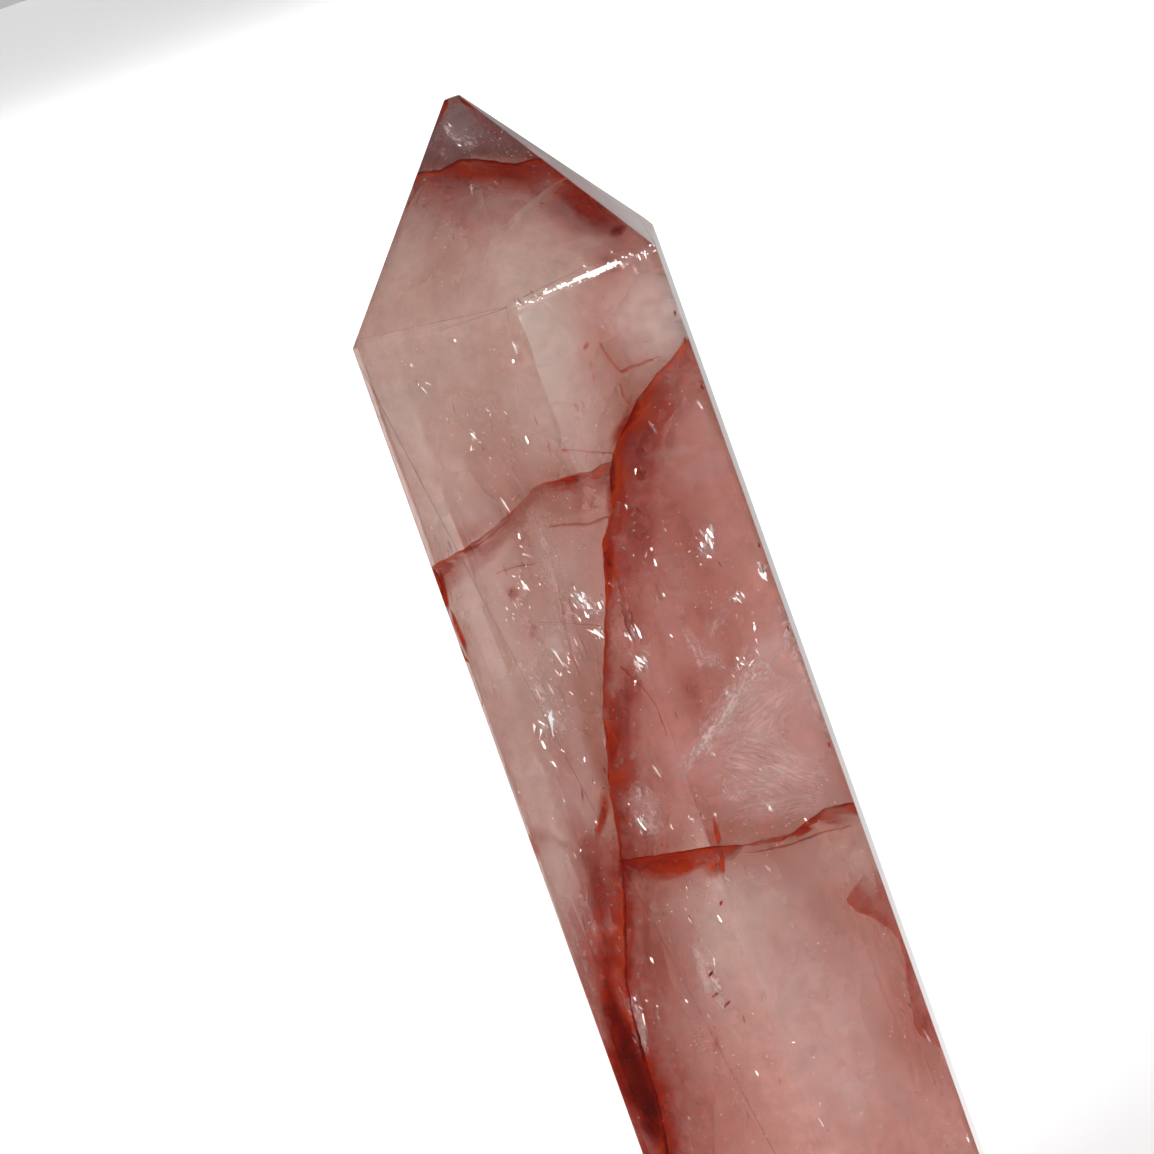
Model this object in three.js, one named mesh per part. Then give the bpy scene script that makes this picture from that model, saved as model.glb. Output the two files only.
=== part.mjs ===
// A fire quartz point: one six-sided quartz crystal, ground and polished to stand on a flat base.
// Millimetres, +Z up the crystal, origin at the middle of the base.
//
// The stone is shaped as a lapidary shapes it, by flat faces alone. Each face is a plane, and the
// stone is what lies inside all of them.

import * as THREE from "three";
import { ConvexGeometry } from "three/addons/geometries/ConvexGeometry.js";

// Driving dimensions of the crystal
const LENGTH = 98; // from the base to the blunted tip
const SHOULDER = 84.5; // height at which the side faces end and the termination begins
const APEX = new THREE.Vector3(0.65, 0, 98.7); // where the termination's six facets would meet

// Side faces: direction, distance from the axis at the shoulder, and what the base adds to it
const SIDES = {
  right: { angle: 0, reach: 10.7, flare: 0.8 },
  backRight: { angle: 60, reach: 11.25, flare: 0.7 },
  backLeft: { angle: 120, reach: 11.1, flare: 0.6 },
  left: { angle: 180, reach: 11.15, flare: 0.1 },
  frontLeft: { angle: 240, reach: 10.75, flare: 0.4 },
  frontRight: { angle: 300, reach: 11.6, flare: 0.75 },
};

// Small facets: how deep each is ground below the sharp edge or corner that it takes away
const WORN_EDGE = 0.11; // the front right shoulder edge
const BROKEN_CORNER = 0.32; // the back corner of the right face's shoulder
const BASE_BEVEL = 0.5; // height of the bevel round the base

const UP = new THREE.Vector3(0, 0, 1);
const SAME_PLACE = 1e-6; // points nearer than this are one
const PARALLEL = 1e-3; // three planes that enclose less than this have no one meeting point

// The horizontal direction that a side face looks in.
function outward(side) {
  const turn = THREE.MathUtils.degToRad(side.angle);
  return new THREE.Vector3(Math.cos(turn), Math.sin(turn), 0);
}

// The plane that looks along a direction and holds a point.
function planeThrough(direction, point) {
  return new THREE.Plane().setFromNormalAndCoplanarPoint(direction.clone().normalize(), point);
}

// The middle of a side face's upper border, on the shoulder.
function shoulderPoint(side) {
  return outward(side).multiplyScalar(side.reach).addScaledVector(UP, SHOULDER);
}

function sidePlane(side) {
  const direction = outward(side).multiplyScalar(SHOULDER).addScaledVector(UP, side.flare);
  return planeThrough(direction, shoulderPoint(side));
}

// The termination facet over a side face: it holds that face's shoulder line and the apex.
function terminationPlane(side) {
  const rise = APEX.z - SHOULDER;
  const run = side.reach - outward(side).dot(APEX);
  const direction = outward(side).multiplyScalar(rise).addScaledVector(UP, run);
  return planeThrough(direction, shoulderPoint(side));
}

function baseBevelPlane(side) {
  const reach = side.reach + side.flare * (1 - BASE_BEVEL / SHOULDER);
  const rim = outward(side).multiplyScalar(reach).addScaledVector(UP, BASE_BEVEL);
  return planeThrough(outward(side).sub(UP), rim);
}

// The point that three planes share, or null if they have no single one.
function meetingPoint(planes) {
  const rows = new THREE.Matrix3().set(...planes.flatMap((plane) => [...plane.normal]));
  if (Math.abs(rows.determinant()) < PARALLEL) {
    return null;
  }
  const [a, b, c] = planes.map((plane) => -plane.constant);
  return new THREE.Vector3(a, b, c).applyMatrix3(rows.invert());
}

// A plane square to the mean of the given planes, at a depth below a point that they share.
function breakPlane(planes, point, depth) {
  const mean = planes.reduce((sum, plane) => sum.add(plane.normal), new THREE.Vector3()).normalize();
  return planeThrough(mean, point.clone().addScaledVector(mean, -depth));
}

// The front right shoulder edge, worn to a narrow flat.
function wornEdgePlane() {
  const pair = [sidePlane(SIDES.frontRight), terminationPlane(SIDES.frontRight)];
  return breakPlane(pair, shoulderPoint(SIDES.frontRight), WORN_EDGE);
}

// The shoulder corner between the right faces, broken off.
function brokenCornerPlane() {
  const around = [SIDES.right, SIDES.backRight].flatMap((side) => [sidePlane(side), terminationPlane(side)]);
  return breakPlane(around, meetingPoint(around.slice(0, 3)), BROKEN_CORNER);
}

// Every face of the stone, from the large ones to the small breaks.
function crystalPlanes() {
  const sides = Object.values(SIDES);
  return [
    ...sides.map(sidePlane),
    ...sides.map(terminationPlane),
    planeThrough(UP.clone().negate(), new THREE.Vector3()),
    planeThrough(UP, new THREE.Vector3(0, 0, LENGTH)),
    wornEdgePlane(),
    brokenCornerPlane(),
    ...sides.map(baseBevelPlane),
  ];
}

// Every corner of the body that the planes enclose: three planes meet there and none cuts it off.
function cornersOf(planes) {
  const corners = [];
  planes.forEach((first, i) => {
    planes.slice(i + 1).forEach((second, j) => {
      planes.slice(i + j + 2).forEach((third) => {
        const point = meetingPoint([first, second, third]);
        const inside = point && planes.every((plane) => plane.distanceToPoint(point) < SAME_PLACE);
        if (inside && corners.every((corner) => corner.distanceTo(point) > SAME_PLACE)) {
          corners.push(point);
        }
      });
    });
  });
  return corners;
}

// The stone, moved so that the middle of its plan is at the origin.
function crystalGeometry() {
  const geometry = new ConvexGeometry(cornersOf(crystalPlanes()));
  geometry.computeBoundingBox();
  const middle = geometry.boundingBox.getCenter(new THREE.Vector3());
  return geometry.translate(-middle.x, -middle.y, 0);
}

function crystalMesh() {
  const quartz = new THREE.MeshStandardMaterial({ color: 0xb08a82, roughness: 0.06, metalness: 0 });
  const mesh = new THREE.Mesh(crystalGeometry(), quartz);
  mesh.name = "crystal";
  return mesh;
}

const firePoint = new THREE.Group();
firePoint.add(crystalMesh());

export default firePoint;
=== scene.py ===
import math
import random

import bmesh
import bpy
from mathutils import Matrix, Vector, kdtree, noise


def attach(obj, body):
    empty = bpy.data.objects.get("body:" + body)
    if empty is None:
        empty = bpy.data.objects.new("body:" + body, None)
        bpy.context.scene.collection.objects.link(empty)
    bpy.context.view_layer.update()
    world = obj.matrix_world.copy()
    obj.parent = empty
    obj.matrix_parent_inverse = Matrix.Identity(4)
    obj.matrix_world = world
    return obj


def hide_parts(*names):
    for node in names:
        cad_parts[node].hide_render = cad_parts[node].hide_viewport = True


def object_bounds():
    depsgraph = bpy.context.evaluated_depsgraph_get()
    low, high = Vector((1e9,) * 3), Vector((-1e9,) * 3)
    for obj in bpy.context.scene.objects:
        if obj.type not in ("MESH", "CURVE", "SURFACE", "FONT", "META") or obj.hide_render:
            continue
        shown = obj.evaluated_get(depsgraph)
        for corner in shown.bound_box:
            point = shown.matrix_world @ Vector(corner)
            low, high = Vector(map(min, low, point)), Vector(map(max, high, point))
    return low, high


MM = 0.001

# The photograph's frame and the camera that saw it
PHOTO_SIDE = 1154.0  # pixels
SENSOR = 36.0  # millimetres, as the focal length
LENS = 124.03
DISTANCE = 280.0 * MM
AIM = Vector((-2.44, -0.17, 63.4)) * MM
AZIMUTH = math.radians(3.97)
ELEVATION = math.radians(10.70)
ROLL = math.radians(-19.57)
NEAREST = 1 * MM  # the camera sees from here
FARTHEST = 50.0  # to here, in metres

QUARTZ_IOR = 1.544
QUARTZ_TINT = (0.80, 0.45, 0.36)
QUARTZ_DENSITY = 40.0  # how fast light takes on the tint, per metre
POLISH = (0.012, 0.045)  # the least and the most roughness of the polished faces
SKIN = 0.08 * MM  # what lies inside the stone stays this far below its faces

# The studio: the room's light, and the softboxes as (direction from the stone, angles of the bright
# middle and of the outer rim in degrees, strength)
WALL_LIGHT = 1.0
ROOM_LIGHT = 0.10
KEY_SIDE = Vector((0.52, -0.78, 0.36)).normalized()
FILL_SIDE = Vector((-0.55, -0.68, 0.48)).normalized()
SOFTBOXES = [(KEY_SIDE, 8, 20, 9.0), (FILL_SIDE, 8, 22, 7.0)]

# Lines in the photograph where a film comes to the polished surface, in its pixels
TIP_LINE = [
    (412, 174), (424, 171), (440, 169), (447, 166), (460, 159), (474, 158), (490, 160), (502, 162),
    (515, 163), (524, 161), (533, 158), (548, 159), (575, 178),
]
MAIN_LINE = [
    (692, 338), (682, 341), (672, 355), (664, 366), (655, 373), (646, 386), (634, 402), (628, 418),
    (617, 440), (611, 455), (608, 478), (610, 505), (606, 522), (601, 540), (603, 560), (605, 600),
    (604, 640), (602, 690), (602, 712), (605, 740), (607, 775), (610, 800), (616, 832), (620, 862),
    (623, 900), (624, 940), (625, 980), (632, 1020), (643, 1060), (655, 1100), (664, 1140), (668, 1170),
    (684, 1210), (702, 1260), (716, 1320),
]
SECOND_LINE = [
    (431, 566), (440, 561), (456, 552), (474, 541), (492, 528), (510, 512), (524, 499), (532, 489),
    (543, 482), (560, 479), (579, 473), (590, 471), (600, 464), (612, 460),
]
CROSS_LINE = [
    (619, 860), (640, 857), (665, 853), (687, 850), (719, 845), (745, 846), (765, 844), (780, 841),
    (798, 828), (812, 817), (824, 808), (848, 803), (856, 801),
]
LOW_RIGHT_LINE = [
    (845, 901), (854, 913), (877, 922), (890, 932), (898, 942), (905, 969), (907, 990), (910, 1004),
    (912, 1022), (918, 1036), (930, 1044), (942, 1052),
]
LEFT_EDGE_LINE = [(436, 569), (441, 580), (445, 600), (450, 622), (457, 640), (465, 655), (470, 664)]
# The left border of the low left film
LOW_LEFT_LINE = [(600, 800), (600, 880), (602, 940), (612, 1000), (630, 1060), (650, 1120)]
# The cloud stays clear along all of these
FILM_LINES = [TIP_LINE, MAIN_LINE, SECOND_LINE, CROSS_LINE, LOW_RIGHT_LINE, LEFT_EDGE_LINE, LOW_LEFT_LINE]

# Thin cracks in the photograph: pixels, reach in millimetres, and how soon the red of the rim is lost
THIN_LINES = [
    ([(619, 383), (622, 396), (630, 405)], 1.2, 2.0),
    ([(598, 341), (606, 356), (618, 371), (636, 364), (650, 359), (659, 356)], 1.6, 1.2),
    ([(563, 448), (580, 450), (597, 452), (614, 452)], 1.5, 1.0),
    ([(550, 525), (570, 523), (589, 522), (607, 515)], 2.0, 2.0),
    ([(745, 853), (768, 849), (792, 843), (819, 832), (851, 825)], 2.5, 1.6),
    ([(456, 552), (474, 546), (492, 534), (512, 517)], 1.2, 2.0),
    ([(558, 584), (564, 620), (572, 655), (580, 674)], 0.8, 5.0),
    ([(570, 600), (577, 628), (588, 655)], 0.6, 5.0),
    ([(596, 645), (600, 672), (601, 700)], 0.6, 5.0),
    ([(529, 528), (522, 540), (517, 549)], 0.7, 1.0),
    ([(621, 665), (640, 683), (656, 703), (667, 734)], 1.2, 3.0),
    ([(540, 622), (565, 622), (600, 625)], 0.5, 6.0),
    ([(578, 898), (584, 920), (589, 942), (598, 963)], 1.0, 0.5),
    ([(497, 573), (516, 566), (536, 563)], 0.8, 3.0),
    ([(509, 610), (521, 588), (534, 573)], 0.8, 3.0),
    ([(523, 540), (521, 566), (527, 604)], 0.6, 4.0),
]

# Stains, as (place x, y and half sizes in pixels, turn in degrees, depth in millimetres, tone, strength).
# A tone is the depth in a film that has the stain's colour
STAINS = [
    (586, 346, 4, 7, 30, 0.3, 0.5, 0.8),
    (592, 378, 6, 4, -30, 0.3, 0.4, 0.8),
    (583, 384, 3, 3, 0, 0.3, 0.8, 0.7),
    (640, 476, 8, 7, 0, 1.1, 0.3, 0.9),
    (513, 594, 11, 15, -10, 1.1, 2.4, 0.8),
    (533, 632, 7, 11, 15, 1.1, 2.4, 0.8),
    (522, 566, 26, 8, -8, 2.1, 5.0, 0.5),
    (604, 808, 10, 26, 3, 0.3, 0.45, 0.9),
    (600, 826, 7, 22, 12, 0.3, 0.9, 0.8),
    (618, 230, 18, 11, -20, 0.3, 0.1, 0.7),
    (588, 206, 72, 28, 32, 0.25, 1.8, 0.8),
    (604, 222, 40, 20, 28, 1.1, 1.2, 0.6),
    (566, 174, 56, 16, 32, 0.3, 0.9, 0.8),
    (592, 202, 74, 22, 38, 0.3, 1.2, 0.7),
    (552, 190, 80, 34, 18, 1.1, 1.4, 0.9),
    (580, 214, 96, 40, 18, 1.1, 2.2, 0.9),
    (590, 232, 90, 40, 10, 2.1, 2.6, 1.0),
    (620, 256, 50, 26, -15, 2.1, 3.0, 0.9),
    (640, 270, 22, 26, -15, 1.1, 2.6, 0.6),
    (468, 172, 60, 16, 2, 0.3, 1.0, 0.75),
    (512, 172, 60, 18, 3, 0.3, 1.0, 0.75),
    (490, 180, 100, 26, 3, 1.1, 1.6, 0.8),
    (470, 200, 100, 44, 5, 2.1, 3.0, 1.0),
    (470, 215, 90, 60, 5, 1.1, 5.0, 0.6),
    (425, 230, 30, 60, 20, 2.1, 5.0, 0.6),
    (568, 508, 44, 18, -10, 2.1, 6.0, 0.7),
    (472, 532, 52, 24, -33, 1.1, 7.0, 0.6),
    (575, 479, 40, 6, -16, 0.3, 1.4, 0.9),
    (570, 478, 40, 4, -14, 0.25, 0.9, 0.95),
    (444, 590, 4, 26, -12, 0.2, 0.3, 1.0),
    (459, 632, 4, 28, -22, 0.2, 0.3, 1.0),
    (609, 560, 7, 42, 1, 0.3, 0.9, 0.9),
    (613, 742, 11, 40, -3, 0.3, 0.95, 0.9),
    (624, 715, 16, 60, -3, 1.1, 3.0, 0.8),
    (624, 430, 17, 52, 14, 1.1, 1.5, 0.95),
    (612, 500, 10, 40, 2, 1.1, 0.8, 0.9),
    (668, 867, 66, 22, -5, 0.25, 0.6, 0.85),
    (712, 867, 28, 22, -3, 0.2, 0.6, 0.7),
    (690, 882, 52, 28, -3, 1.1, 2.2, 0.5),
    (664, 890, 46, 30, -5, 1.1, 3.5, 0.6),
    (717, 832, 4, 18, -12, 0.15, 0.6, 1.0),
    (722, 862, 4, 16, -8, 0.15, 0.6, 1.0),
    (800, 832, 26, 7, -22, 0.3, 1.2, 0.9),
    (835, 820, 26, 9, -10, 1.1, 2.5, 0.8),
    (639, 1084, 29, 80, -18, 0.15, 0.24, 1.0),
    (630, 1080, 28, 84, -18, 0.2, 0.3, 0.9),
    (652, 1124, 20, 40, -18, 0.25, 0.15, 0.9),
    (620, 1030, 23, 76, -20, 0.15, 0.28, 0.95),
    (610, 1000, 17, 56, -20, 0.2, 0.4, 0.8),
    (604, 955, 20, 44, -14, 0.25, 2.2, 0.7),
    (606, 965, 16, 36, -14, 1.1, 1.2, 0.8),
    (600, 900, 24, 60, -8, 1.1, 2.8, 0.85),
    (600, 880, 22, 60, -6, 0.2, 3.2, 0.5),
    (592, 860, 24, 50, -8, 1.1, 3.2, 0.8),
    (576, 830, 22, 50, -16, 2.1, 4.5, 0.7),
    (646, 930, 10, 60, -4, 1.1, 2.2, 0.6),
    (650, 960, 30, 60, -12, 2.1, 4.0, 0.7),
    (668, 955, 54, 110, -18, 0.2, 5.5, 0.5),
    (700, 990, 50, 90, -18, 0.25, 6.0, 0.4),
    (690, 1060, 40, 90, -20, 0.2, 6.0, 0.4),
    (505, 720, 46, 120, -18, 0.2, 7.5, 0.45),
    (540, 830, 40, 90, -18, 0.2, 6.5, 0.4),
    (710, 975, 2, 6, 40, 0.25, 0.0, 1.0),
    (715, 995, 2, 6, 55, 0.25, 0.0, 1.0),
    (727, 1004, 2, 6, 50, 0.25, 0.0, 1.0),
    (721, 903, 2, 4, 20, 0.25, 0.2, 1.0),
    (716, 1044, 5, 12, 10, 1.1, 2.5, 0.7),
    (704, 1020, 22, 60, -16, 2.1, 6.0, 0.5),
    (690, 690, 22, 60, -20, 1.1, 3.5, 0.8),
    (652, 505, 42, 84, -4, 0.2, 3.2, 0.4),
    (655, 430, 36, 60, 20, 0.2, 2.6, 0.4),
    (668, 505, 26, 13, -10, 1.1, 1.6, 0.5),
    (700, 612, 18, 34, -35, 1.1, 1.9, 0.5),
    (652, 548, 12, 40, -12, 0.3, 2.0, 0.4),
    (662, 640, 12, 50, -18, 0.3, 2.2, 0.45),
    (720, 480, 16, 60, -20, 0.3, 3.0, 0.35),
    (640, 590, 8, 60, -6, 0.25, 1.6, 0.4),
    (545, 740, 60, 120, -18, 2.1, 7.5, 0.7),
    (700, 520, 50, 90, -18, 2.1, 4.5, 0.7),
    (640, 450, 34, 46, 10, 1.1, 2.6, 0.9),
    (640, 530, 34, 60, -3, 1.1, 3.0, 0.8),
    (635, 620, 26, 50, -3, 1.1, 3.2, 0.7),
    (632, 690, 28, 50, -3, 1.1, 2.4, 0.8),
    (872, 912, 30, 10, 18, 0.15, 3.0, 0.6),
    (886, 924, 24, 13, 25, 0.15, 3.5, 0.6),
    (910, 975, 10, 56, -8, 0.15, 3.0, 0.6),
    (926, 1022, 14, 36, -18, 0.15, 3.0, 0.6),
    (675, 313, 2, 4, 0, 0.25, 0.1, 0.9),
    (685, 341, 2, 5, 0, 0.25, 0.1, 0.9),
    (702, 387, 1.6, 4, -18, 0.25, 0.2, 0.9),
    (759, 545, 1.6, 4, -18, 0.25, 0.2, 0.9),
    (788, 628, 1.6, 4, -18, 0.25, 0.2, 0.9),
    (829, 745, 1.6, 4, -18, 0.25, 0.2, 0.9),
]

# Streaks of rust, strewn along a line in the photograph, in its pixels
RUST_STREAKS = 70
RUST_TOP = (500, 330)  # where the line starts
RUST_RUN = (262, 800)  # how far it runs across and down
RUST_ASIDE = (-85, 95)  # how far to its left and right they lie
RUST_WIDENING = 20  # how much farther right they lie at its lower end

PATCH_GAP = 0.002  # each patch lies this much deeper than the one before it, in millimetres
PATCH_LOBES = 1.6  # how fine the lobes of a patch's border are
PATCH_RAGGED = 0.45  # and how long
PATCH_FADE = 1.5  # how soft the border is
SPECK = 9  # patches up to this half width, in pixels, have firmer borders
SPECK_FADE = 0.8
SHALLOW = 0.27  # up to this depth, in millimetres, a patch lies flat behind the face it is seen through

# Smooth pale hazes and wispy pale clouds, written as the stains are, with tone 0
PALE_HAZES = [
    (652, 318, 64, 66, -20, 0.3, 0, 0.65),
    (656, 312, 60, 56, -20, 1.1, 0, 1.0),
    (650, 312, 66, 62, -20, 2.1, 0, 1.0),
    (644, 296, 56, 36, -25, 1.1, 0, 0.8),
    (536, 334, 44, 56, -15, 0.15, 0, 0.5),
    (527, 318, 24, 26, -15, 0.2, 0, 0.45),
    (556, 380, 64, 120, -18, 0.2, 0, 0.4),
    (575, 380, 36, 80, -18, 1.1, 0, 0.35),
    (550, 415, 46, 80, -18, 2.1, 0, 0.6),
    (530, 245, 32, 60, 20, 2.1, 0, 0.5),
    (556, 638, 30, 36, 0, 0.2, 0, 0.35),
    (560, 560, 40, 60, -10, 0.2, 0, 0.2),
    (470, 600, 34, 50, -15, 2.1, 0, 0.4),
    (455, 470, 28, 60, -18, 2.1, 0, 0.4),
    (400, 300, 34, 66, 20, 2.1, 0, 0.6),
    (720, 940, 60, 100, -18, 1.1, 0, 0.35),
    (800, 985, 90, 170, -18, 0.2, 0, 0.33),
    (850, 1080, 60, 120, -18, 0.2, 0, 0.3),
    (470, 400, 40, 90, -18, 1.1, 0, 0.2),
]
PALE_CLOUDS = [
    (770, 772, 84, 54, 14, 0.25, 0, 0.75),
    (782, 786, 80, 44, -8, 1.1, 0, 0.8),
    (780, 700, 44, 90, -20, 1.1, 0, 0.6),
    (770, 712, 60, 56, -50, 0.25, 0, 0.7),
    (806, 690, 26, 66, -20, 1.1, 0, 0.6),
    (645, 808, 24, 30, -10, 1.1, 0, 0.6),
    (704, 652, 30, 20, 35, 1.1, 0, 0.45),
    (712, 975, 24, 42, -20, 1.1, 0, 0.6),
    (710, 1040, 50, 60, -20, 2.1, 0, 0.35),
    (640, 1026, 10, 38, -12, 0.25, 0, 0.5),
    (860, 1080, 50, 60, -20, 1.1, 0, 0.35),
    (585, 604, 24, 18, 30, 1.1, 0, 0.5),
    (640, 667, 12, 20, 20, 1.1, 0, 0.5),
    (549, 722, 22, 26, 25, 1.1, 0, 0.6),
    (706, 545, 13, 24, 15, 1.1, 0, 0.5),
    (761, 570, 16, 10, -30, 1.1, 0, 0.5),
    (458, 134, 22, 14, 40, 1.1, 0, 0.45),
    (700, 470, 44, 16, -6, 0.25, 0, 0.35),
    (678, 452, 46, 8, -6, 0.2, 0, 0.4),
    (724, 540, 26, 50, -30, 1.1, 0, 0.35),
    (676, 580, 22, 44, -20, 0.25, 0, 0.25),
    (705, 430, 30, 40, -20, 0.3, 0, 0.25),
    (704, 975, 6, 26, -14, 0.2, 0, 0.8),
    (721, 1000, 11, 5, 35, 0.2, 0, 0.8),
    (838, 1086, 40, 12, 30, 0.25, 0, 0.4),
]

# White feathers, as (line of pixels, half widths in pixels and depths in millimetres at its two ends,
# strength)
FEATHERS = [
    ([(678, 772), (700, 748), (716, 722), (740, 690), (768, 650), (796, 612)], (5, 20), (0.4, 1.0), 1.0),
    ([(716, 718), (738, 690), (760, 655), (786, 624)], (7, 12), (0.7, 1.2), 1.0),
    ([(676, 780), (712, 730), (750, 680), (800, 606)], (14, 36), (0.5, 1.2), 0.9),
    ([(736, 740), (770, 700), (806, 650)], (14, 20), (1.0, 1.6), 0.7),
    ([(722, 800), (756, 776), (796, 760), (836, 752)], (18, 30), (0.6, 1.4), 0.75),
    ([(700, 780), (740, 740), (780, 716)], (14, 24), (0.8, 1.4), 0.7),
    ([(683, 626), (696, 648), (702, 668)], (5, 12), (0.7, 1.0), 0.8),
    ([(728, 674), (712, 660), (694, 660)], (5, 12), (0.7, 1.0), 0.8),
    ([(632, 992), (638, 1020), (648, 1060)], (7, 9), (0.3, 0.6), 0.8),
    ([(696, 942), (712, 975), (733, 1010)], (10, 13), (0.4, 0.9), 1.0),
    ([(444, 122), (456, 136), (478, 145)], (5, 7), (0.5, 1.0), 0.9),
    ([(438, 150), (448, 154)], (5, 5), (0.5, 0.6), 0.8),
    ([(472, 182), (475, 198)], (4, 4), (0.3, 0.4), 0.7),
    ([(612, 285), (650, 310), (684, 338)], (26, 14), (1.4, 1.2), 0.6),
    ([(483, 223), (505, 240), (530, 262)], (10, 16), (1.6, 1.2), 0.5),
    ([(740, 590), (725, 610), (706, 640)], (6, 12), (1.0, 1.8), 0.6),
    ([(533, 497), (553, 570), (579, 673)], (14, 18), (1.2, 1.8), 0.5),
    ([(650, 560), (664, 620), (690, 690)], (10, 14), (1.2, 1.6), 0.4),
    ([(515, 650), (540, 690), (570, 735)], (10, 18), (0.9, 1.4), 0.6),
    ([(640, 780), (646, 812), (660, 838)], (14, 16), (0.6, 1.0), 0.7),
]

# Bright flecks, as (place x, y and half sizes in pixels, how many, size in millimetres)
GLINTS = [
    (583, 604, 15, 11, 58, 0.06),
    (599, 631, 5, 5, 17, 0.048),
    (630, 635, 5, 5, 15, 0.054),
    (640, 667, 7, 12, 34, 0.06),
    (549, 722, 10, 14, 68, 0.051),
    (706, 545, 7, 13, 44, 0.066),
    (761, 570, 6, 6, 24, 0.054),
    (737, 596, 5, 6, 17, 0.048),
    (642, 820, 5, 6, 20, 0.054),
    (692, 818, 3, 3, 7, 0.042),
    (646, 1107, 3, 5, 10, 0.06),
    (638, 1022, 6, 24, 58, 0.06),
    (657, 1013, 3, 5, 10, 0.042),
    (455, 134, 12, 10, 17, 0.03),
    (520, 590, 12, 36, 44, 0.045),
    (560, 660, 16, 26, 37, 0.045),
    (510, 340, 16, 26, 34, 0.039),
    (425, 390, 12, 12, 17, 0.036),
    (480, 430, 36, 24, 31, 0.036),
    (520, 440, 10, 12, 12, 0.036),
    (748, 665, 26, 34, 58, 0.039),
    (770, 780, 36, 18, 51, 0.036),
    (640, 272, 10, 8, 20, 0.036),
    (712, 975, 12, 22, 27, 0.036),
    (650, 560, 40, 90, 44, 0.033),
    (700, 920, 50, 60, 41, 0.03),
    (840, 1060, 60, 60, 34, 0.03),
    (560, 800, 30, 50, 31, 0.036),
    (626, 266, 4, 3, 10, 0.033),
    (638, 256, 5, 3, 8, 0.03),
    (612, 252, 3, 3, 7, 0.027),
    (588, 266, 8, 5, 10, 0.027),
]

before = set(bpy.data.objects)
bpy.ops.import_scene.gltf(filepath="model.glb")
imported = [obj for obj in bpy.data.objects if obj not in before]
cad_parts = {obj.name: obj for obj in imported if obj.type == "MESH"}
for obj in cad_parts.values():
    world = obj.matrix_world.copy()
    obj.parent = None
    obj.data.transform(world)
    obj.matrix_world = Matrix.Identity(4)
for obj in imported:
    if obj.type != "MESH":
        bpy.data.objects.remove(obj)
cad_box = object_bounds()


# Camera and places in the photograph

def camera_axes():
    """The camera's right, up and backward directions."""
    back = Vector((
        math.sin(AZIMUTH) * math.cos(ELEVATION),
        -math.cos(AZIMUTH) * math.cos(ELEVATION),
        math.sin(ELEVATION),
    ))
    level = Vector((math.cos(AZIMUTH), math.sin(AZIMUTH), 0))
    upright = back.cross(level)
    right = level * math.cos(ROLL) + upright * math.sin(ROLL)
    up = upright * math.cos(ROLL) - level * math.sin(ROLL)
    return right, up, back


RIGHT, UP, BACK = camera_axes()
EYE = AIM + BACK * DISTANCE


def make_camera():
    data = bpy.data.cameras.new("camera")
    data.sensor_width = SENSOR
    data.lens = LENS
    data.clip_start = NEAREST
    data.clip_end = FARTHEST
    camera = bpy.data.objects.new("camera", data)
    camera.matrix_world = Matrix.Translation(EYE) @ Matrix((RIGHT, UP, BACK)).transposed().to_4x4()
    bpy.context.collection.objects.link(camera)
    bpy.context.scene.camera = camera


SAME_WAY = 0.999  # faces look the same way if the cosine between their normals is over this
SAME_REACH = 0.02 * MM  # and are one if they are as far from the origin as each other, within this
SMALLEST_FACE = 0.1 * MM * MM
OUTSIDE = 0.1  # metres from the stone's axis, which is well outside it
GRAZING = 1e-6  # a ray that nears a face more slowly than this doesn't meet it


def stone_faces():
    """The stone's faces as (outward normal, distance) planes, from the CAD node."""
    faces = []
    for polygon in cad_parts["crystal"].data.polygons:
        distance = polygon.normal.dot(polygon.center)
        known = any(
            polygon.normal.dot(normal) > SAME_WAY and abs(distance - reach) < SAME_REACH
            for normal, reach in faces
        )
        if not known and polygon.area > SMALLEST_FACE:
            faces.append((polygon.normal.copy(), distance))
    return faces


FACES = stone_faces()


def sight_line(pixel):
    """The direction in which the camera sees a pixel of the photograph."""
    scale = SENSOR / LENS / PHOTO_SIDE
    across = (pixel[0] - PHOTO_SIDE / 2) * scale
    down = (pixel[1] - PHOTO_SIDE / 2) * scale
    return (RIGHT * across - UP * down - BACK).normalized()


def meet_stone(origin, direction):
    """Where a ray enters the stone, and the normal of the face there."""
    nearest, face = -1.0, FACES[0][0]
    for normal, reach in FACES:
        closing = normal.dot(direction)
        if closing < -GRAZING:
            distance = (reach - normal.dot(origin)) / closing
            if distance > nearest:
                nearest, face = distance, normal
    return origin + direction * nearest, face


def level_way(turn):
    return Vector((math.cos(turn), math.sin(turn), 0))


def meet_from_side(turn, level):
    """Where a level ray towards the axis enters the stone, and the normal of the face there."""
    away = level_way(turn)
    return meet_stone(Vector((0, 0, level)) + away * OUTSIDE, -away)


def bend(direction, normal):
    """A ray's direction once it has passed into quartz."""
    cosine = -direction.dot(normal)
    ratio = 1 / QUARTZ_IOR
    inner = math.sqrt(1 - ratio * ratio * (1 - cosine * cosine))
    return (direction * ratio + normal * (ratio * cosine - inner)).normalized()


def seen_at(pixel, depth):
    """The point that the camera sees at a pixel, this far in behind the stone's face."""
    direction = sight_line(pixel)
    point, face = meet_stone(EYE, direction)
    return point + bend(direction, face) * depth


def seen_through(pixel, normal, reach, depth):
    """The point that the camera sees at a pixel through the plane of one face, this far in behind it."""
    direction = sight_line(pixel)
    distance = (reach - normal.dot(EYE)) / normal.dot(direction)
    return EYE + direction * distance + bend(direction, normal) * depth


# Meshes

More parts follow.
